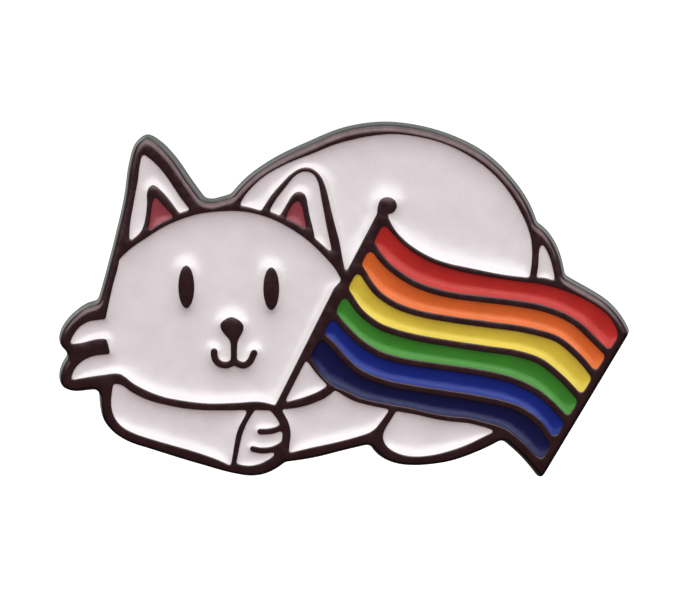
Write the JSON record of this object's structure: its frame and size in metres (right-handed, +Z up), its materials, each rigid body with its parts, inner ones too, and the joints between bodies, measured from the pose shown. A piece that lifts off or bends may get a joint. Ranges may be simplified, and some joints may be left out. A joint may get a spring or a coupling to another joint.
{
  "type": "enamel pin",
  "caption": "Soft-enamel lapel pin: a reclining white cat with a striped flag, raised dark metal lines, ring-notched posts and butterfly clutches whose wings squeeze to let go.",
  "frame": {"origin": "on the flat back face, midway between the two posts", "axes": "the pin stands upright as worn: +Z up, +X to the right of someone looking at the front, the front faces -Y and the posts point along +Y"},
  "size_m": [0.0323, 0.0101, 0.0202],
  "materials": {
    "black_nickel": "die-struck metal with polished black nickel plating",
    "white_enamel": "glossy white soft enamel",
    "pink_enamel": "glossy dusty pink soft enamel",
    "red_enamel": "glossy red soft enamel",
    "orange_enamel": "glossy orange soft enamel",
    "yellow_enamel": "glossy yellow soft enamel",
    "green_enamel": "glossy green soft enamel",
    "blue_enamel": "glossy blue soft enamel",
    "violet_enamel": "glossy dark violet soft enamel",
    "post_metal": "black nickel plated steel wire",
    "clutch_nickel": "bright nickel plated stamped sheet",
    "spring_wire": "spring steel wire"
  },
  "bodies": {
    "pin": {"base_metal": "black_nickel", "head_enamel": "white_enamel", "left_ear_enamel": "white_enamel", "right_ear_enamel": "white_enamel", "back_enamel": "white_enamel", "tail_enamel": "white_enamel", "left_foreleg_enamel": "white_enamel", "paw_enamel": "white_enamel", "belly_enamel": "white_enamel", "chest_enamel": "white_enamel", "hind_foot_enamel": "white_enamel", "left_inner_ear_enamel": "pink_enamel", "right_inner_ear_enamel": "pink_enamel", "red_stripe_enamel": "red_enamel", "orange_stripe_enamel": "orange_enamel", "yellow_stripe_enamel": "yellow_enamel", "green_stripe_enamel": "green_enamel", "blue_stripe_enamel": "blue_enamel", "violet_stripe_enamel": "violet_enamel", "left_post": "post_metal", "right_post": "post_metal"},
    "left_spring_carrier": {"left_clutch_spring": "spring_wire"},
    "left_clutch": {"left_clutch_disc": "clutch_nickel", "left_clutch_housing": "clutch_nickel"},
    "left_outer_wing": {"left_clutch_outer_wing": "clutch_nickel"},
    "left_inner_wing": {"left_clutch_inner_wing": "clutch_nickel"},
    "right_spring_carrier": {"right_clutch_spring": "spring_wire"},
    "right_clutch": {"right_clutch_disc": "clutch_nickel", "right_clutch_housing": "clutch_nickel"},
    "right_outer_wing": {"right_clutch_outer_wing": "clutch_nickel"},
    "right_inner_wing": {"right_clutch_inner_wing": "clutch_nickel"}
  },
  "joints": [
    {"name": "left_clutch_slide", "type": "slide", "parent": "pin", "child": "left_spring_carrier", "axis": [0, 1, 0], "range_m": [-0.0026, 0.008]},
    {"name": "left_clutch_turn", "type": "hinge", "parent": "left_spring_carrier", "child": "left_clutch", "pos_m": [-0.007, 0.003, 0], "axis": [0, 1, 0], "continuous": true},
    {"name": "left_outer_wing_squeeze", "type": "hinge", "parent": "left_clutch", "child": "left_outer_wing", "pos_m": [-0.00855, 0.00578, 0], "axis": [0, 0, -1], "range_deg": [0, 11], "stiffness_Nm_per_rad": 0.001, "springref_deg": -5.73},
    {"name": "left_inner_wing_squeeze", "type": "hinge", "parent": "left_clutch", "child": "left_inner_wing", "pos_m": [-0.00545, 0.00578, 0], "axis": [0, 0, 1], "range_deg": [0, 11], "stiffness_Nm_per_rad": 0.001, "springref_deg": -5.73},
    {"name": "right_clutch_slide", "type": "slide", "parent": "pin", "child": "right_spring_carrier", "axis": [0, 1, 0], "range_m": [-0.0026, 0.008]},
    {"name": "right_clutch_turn", "type": "hinge", "parent": "right_spring_carrier", "child": "right_clutch", "pos_m": [0.007, 0.003, 0], "axis": [0, 1, 0], "continuous": true},
    {"name": "right_outer_wing_squeeze", "type": "hinge", "parent": "right_clutch", "child": "right_outer_wing", "pos_m": [0.00855, 0.00578, 0], "axis": [0, 0, 1], "range_deg": [0, 11], "stiffness_Nm_per_rad": 0.001, "springref_deg": -5.73},
    {"name": "right_inner_wing_squeeze", "type": "hinge", "parent": "right_clutch", "child": "right_inner_wing", "pos_m": [0.00545, 0.00578, 0], "axis": [0, 0, -1], "range_deg": [0, 11], "stiffness_Nm_per_rad": 0.001, "springref_deg": -5.73}
  ],
  "couplings": [
    {"joint": "left_inner_wing_squeeze", "follows": "left_outer_wing_squeeze", "ratio": 1},
    {"joint": "right_inner_wing_squeeze", "follows": "right_outer_wing_squeeze", "ratio": 1}
  ]
}
